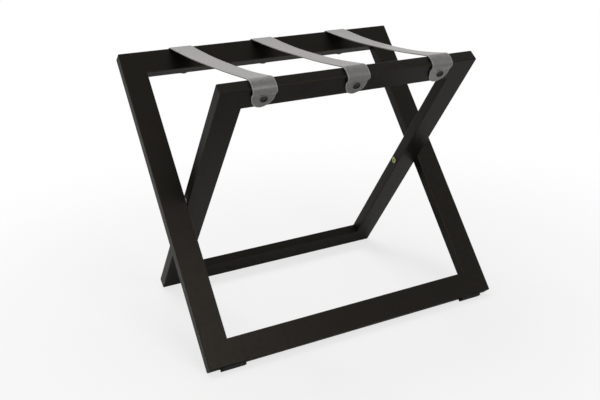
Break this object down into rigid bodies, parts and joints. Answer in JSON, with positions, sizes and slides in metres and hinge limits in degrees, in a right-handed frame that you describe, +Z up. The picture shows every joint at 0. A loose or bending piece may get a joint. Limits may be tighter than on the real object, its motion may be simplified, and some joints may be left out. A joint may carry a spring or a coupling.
{
  "type": "folding luggage bench",
  "caption": "Folding wooden luggage bench: crossed frames pivot half way up their legs, and leather straps across the top rails carry the luggage.",
  "frame": {"origin": "on the floor, under the middle of the bench, half way between the feet of the two frames", "axes": "+X along the rails, to the right of someone who stands in front; +Y from front to back; +Z up"},
  "size_m": [0.6, 0.4056, 0.4996],
  "materials": {
    "frame_wood": "black stain under satin lacquer",
    "tenon_wood": "plain beech",
    "strap_leather": "smooth grey, matt",
    "strap_screw_steel": "black oxide",
    "zinc_steel": "bright zinc plate",
    "pivot_brass": "satin",
    "washer_nylon": "natural nylon",
    "pad_rubber": "matt"
  },
  "bodies": {
    "outer_frame": {"outer_left_leg": "frame_wood", "outer_right_leg": "frame_wood", "outer_top_rail": "frame_wood", "outer_bottom_rail": "frame_wood", "outer_frame_tenons": "tenon_wood", "outer_strap_screws": "strap_screw_steel", "outer_foot_pad_left": "pad_rubber", "outer_foot_pad_right": "pad_rubber", "pivot_bolt_left": "pivot_brass", "pivot_insert_left": "zinc_steel", "pivot_washer_left": "washer_nylon", "pivot_bolt_right": "pivot_brass", "pivot_insert_right": "zinc_steel", "pivot_washer_right": "washer_nylon", "strap_left": "strap_leather", "strap_centre": "strap_leather", "strap_right": "strap_leather"},
    "inner_frame": {"inner_left_leg": "frame_wood", "inner_right_leg": "frame_wood", "inner_top_rail": "frame_wood", "inner_bottom_rail": "frame_wood", "inner_frame_tenons": "tenon_wood", "inner_strap_screws": "strap_screw_steel", "inner_foot_pad_left": "pad_rubber", "inner_foot_pad_right": "pad_rubber"}
  },
  "joints": [
    {"name": "fold", "type": "hinge", "parent": "outer_frame", "child": "inner_frame", "pos_m": [0, 0, 0.24924], "axis": [-1, 0, 0], "range_deg": [0, 69], "deforming": ["strap_left", "strap_centre", "strap_right"]}
  ]
}
